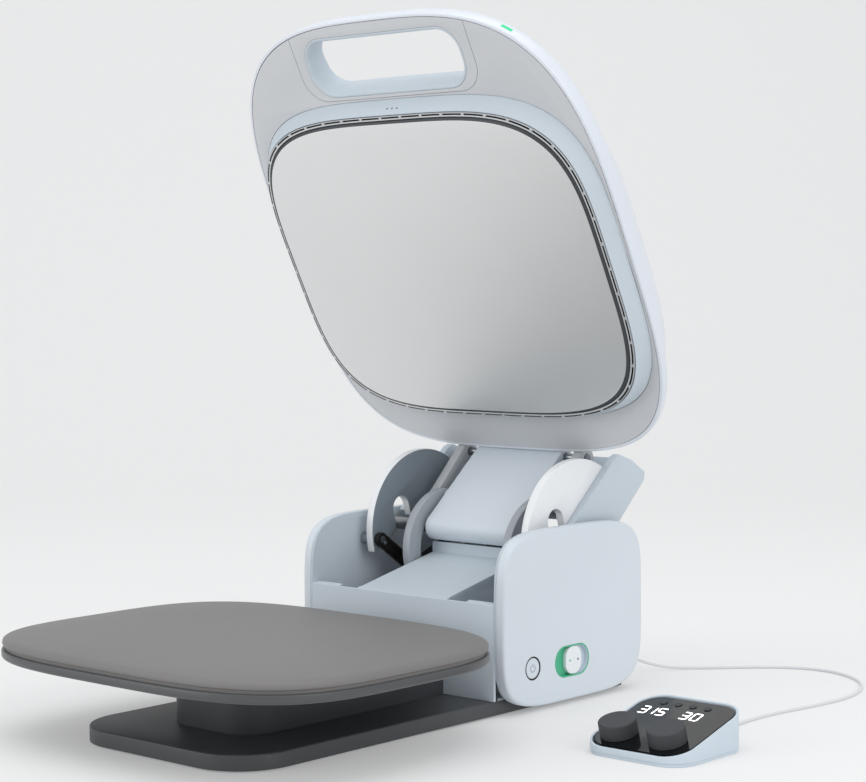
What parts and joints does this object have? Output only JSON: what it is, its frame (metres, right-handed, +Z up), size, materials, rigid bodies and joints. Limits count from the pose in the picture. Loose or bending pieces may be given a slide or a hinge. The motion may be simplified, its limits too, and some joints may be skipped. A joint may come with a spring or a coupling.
{
  "type": "heat press",
  "caption": "Motorised clamshell heat press: a rounded heated lid on a folding neck over a padded platen, with a separate control pod on a cable.",
  "frame": {"origin": "on the floor under the centre of the lower platen, on the rubber sole's underside", "axes": "+X to the operator's right, +Y to the back of the press, +Z up"},
  "size_m": [0.5603, 0.7325, 0.6244],
  "materials": {
    "sole_rubber": "matte moulded rubber",
    "foot_paint": "fine dark grey powder coat",
    "tray_paint": "satin dark grey enamel",
    "mat_silicone": "matte silicone sponge",
    "steel": "machined",
    "zinc_sheet": "zinc plated sheet",
    "bush_bronze": "sintered bronze",
    "body_plastic": "fine satin moulding",
    "liner_plastic": "satin moulding",
    "button_white": "satin",
    "switch_green": "satin, green half and dark half",
    "dark_plastic": "satin black",
    "board_green": "solder mask",
    "motor_paint": "satin black",
    "link_paint": "satin black",
    "cheek_paint": "satin white enamel",
    "rocker_paint": "satin grey enamel",
    "neck_plastic": "satin moulding",
    "shell_plastic": "gloss white moulding",
    "rim_plastic": "satin light grey moulding",
    "bezel_paint": "pale satin enamel",
    "vent_paint": "slotted dark steel strip",
    "plate_aluminium": "bead blasted, coated",
    "heater_mica": "mica sheet with element",
    "insulation": "ceramic fibre felt",
    "cast_aluminium": "painted light grey casting",
    "light_lens": "diffusing lens",
    "pod_plastic": "satin moulding",
    "pod_black": "black window",
    "knob_plastic": "satin dark grey",
    "cable_plastic": "light grey PVC"
  },
  "bodies": {
    "base": {"rubber_sole": "sole_rubber", "foot_plate": "foot_paint", "platen_column": "foot_paint", "platen_tray": "tray_paint", "tray_bolts": "steel", "pressing_mat": "mat_silicone", "side_liners": "liner_plastic", "side_frames": "zinc_sheet", "shaft_bushes": "bush_bronze", "main_shaft": "steel", "left_side_cover": "body_plastic", "right_side_cover": "body_plastic", "power_button_ring": "dark_plastic", "switch_recess": "switch_green", "deck_cover": "liner_plastic", "rear_cover": "body_plastic", "base_chassis": "zinc_sheet", "bearing_plates": "zinc_sheet", "rocker_pins": "steel", "gear_motor": "motor_paint", "power_board": "board_green", "mains_inlet": "dark_plastic", "cable_socket": "dark_plastic", "pod_base": "knob_plastic", "pod_shell": "pod_plastic", "pod_glass": "pod_black", "pod_board": "board_green", "cable_grommet": "cable_plastic", "cable_plug": "cable_plastic", "control_cable": "cable_plastic"},
    "neck": {"neck_frame": "zinc_sheet", "neck_front_cover": "neck_plastic", "neck_rear_cover": "neck_plastic", "lid_hinge_pin": "steel", "cheek_plates": "cheek_paint", "link_pins": "steel"},
    "lid": {"lid_shell": "shell_plastic", "handle_liner": "neck_plastic", "status_light": "light_lens", "lid_rim": "rim_plastic", "bezel_ring": "bezel_paint", "vent_ring": "vent_paint", "heat_plate": "plate_aluminium", "heating_element": "heater_mica", "insulation_pad": "insulation", "heat_shield": "zinc_sheet", "lid_arms": "cast_aluminium"},
    "rockers": {"rocker_arms": "rocker_paint"},
    "drive_links": {"drive_links": "link_paint"},
    "crank": {"crank_shaft": "steel", "drive_gear": "steel"},
    "pinion": {"motor_pinion": "bush_bronze"},
    "power_button": {"power_button": "button_white"},
    "lock_slider": {"lock_slider": "button_white"},
    "left_knob": {"left_knob": "knob_plastic"},
    "right_knob": {"right_knob": "knob_plastic"},
    "pod_button_1": {"pod_button_1": "knob_plastic"},
    "pod_button_2": {"pod_button_2": "knob_plastic"},
    "pod_button_3": {"pod_button_3": "knob_plastic"},
    "pod_button_4": {"pod_button_4": "knob_plastic"}
  },
  "joints": [
    {"name": "neck_hinge", "type": "hinge", "parent": "base", "child": "neck", "pos_m": [0, 0.303, 0.149], "axis": [1, 0, 0], "range_deg": [0, 157.23]},
    {"name": "lid_hinge", "type": "hinge", "parent": "neck", "child": "lid", "pos_m": [0, 0.37629, 0.21632], "axis": [1, 0, 0], "range_deg": [-94.71, 0]},
    {"name": "rocker_pivot", "type": "hinge", "parent": "base", "child": "rockers", "pos_m": [0, 0.2848, 0.1085], "axis": [1, 0, 0], "range_deg": [0, 165.78]},
    {"name": "link_pivot", "type": "hinge", "parent": "neck", "child": "drive_links", "pos_m": [0, 0.2665, 0.137], "axis": [1, 0, 0], "range_deg": [-157.23, 0]},
    {"name": "crank_turn", "type": "hinge", "parent": "base", "child": "crank", "pos_m": [0, 0.34232, 0.12147], "axis": [1, 0, 0], "range_deg": [0, 157.23]},
    {"name": "pinion_spin", "type": "hinge", "parent": "base", "child": "pinion", "pos_m": [0, 0.32167, 0.09198], "axis": [1, 0, 0], "range_deg": [-314.45, 0]},
    {"name": "power_button_press", "type": "slide", "parent": "base", "child": "power_button", "axis": [-1, 0, 0], "range_m": [0, 0.0012], "stiffness_N_per_m": 300, "springref_m": -0.0005},
    {"name": "lock_slide", "type": "slide", "parent": "base", "child": "lock_slider", "axis": [0, 1, 0], "range_m": [-0.012, 0]},
    {"name": "left_knob_turn", "type": "hinge", "parent": "base", "child": "left_knob", "pos_m": [0.2732, 0.16343, 0.01469], "axis": [0, -0.2672, 0.9636], "continuous": true},
    {"name": "right_knob_turn", "type": "hinge", "parent": "base", "child": "right_knob", "pos_m": [0.3217, 0.16343, 0.01469], "axis": [0, -0.2672, 0.9636], "continuous": true},
    {"name": "pod_button_1_press", "type": "slide", "parent": "base", "child": "pod_button_1", "axis": [0, 0.2672, -0.9636], "range_m": [0, 0.0005], "stiffness_N_per_m": 300, "springref_m": -0.0003},
    {"name": "pod_button_2_press", "type": "slide", "parent": "base", "child": "pod_button_2", "axis": [0, 0.2672, -0.9636], "range_m": [0, 0.0005], "stiffness_N_per_m": 300, "springref_m": -0.0003},
    {"name": "pod_button_3_press", "type": "slide", "parent": "base", "child": "pod_button_3", "axis": [0, 0.2672, -0.9636], "range_m": [0, 0.0005], "stiffness_N_per_m": 300, "springref_m": -0.0003},
    {"name": "pod_button_4_press", "type": "slide", "parent": "base", "child": "pod_button_4", "axis": [0, 0.2672, -0.9636], "range_m": [0, 0.0005], "stiffness_N_per_m": 300, "springref_m": -0.0003}
  ],
  "couplings": [
    {"joint": "lid_hinge", "follows": "neck_hinge", "ratio": -0.60236},
    {"joint": "rocker_pivot", "follows": "neck_hinge", "ratio": 1.0544},
    {"joint": "link_pivot", "follows": "neck_hinge", "ratio": -1},
    {"joint": "crank_turn", "follows": "neck_hinge", "ratio": 1},
    {"joint": "pinion_spin", "follows": "neck_hinge", "ratio": -2}
  ]
}
